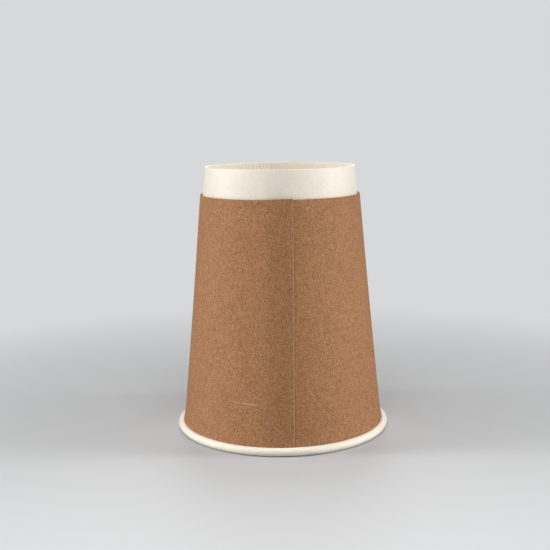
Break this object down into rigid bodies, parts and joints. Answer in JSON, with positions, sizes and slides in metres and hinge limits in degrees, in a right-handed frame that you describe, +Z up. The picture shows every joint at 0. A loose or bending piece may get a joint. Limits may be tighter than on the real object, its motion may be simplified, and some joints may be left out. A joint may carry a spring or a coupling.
{
  "type": "double wall paper cup",
  "caption": "Paper cup with a white rolled-rim inner wall, a recessed bottom disc and a kraft outer sleeve, standing mouth down.",
  "frame": {"origin": "centre of the rim plane, on the surface that the cup stands on mouth down", "axes": "+Z up, from the rim towards the foot; -Y is the side that the picture shows; +X to its right"},
  "size_m": [0.09, 0.09, 0.111],
  "materials": {
    "white_board": "satin coated board",
    "kraft_board": "uncoated brown kraft"
  },
  "bodies": {
    "root": {"inner_wall": "white_board", "bottom_disc": "white_board", "outer_sleeve": "kraft_board"}
  },
  "joints": []
}
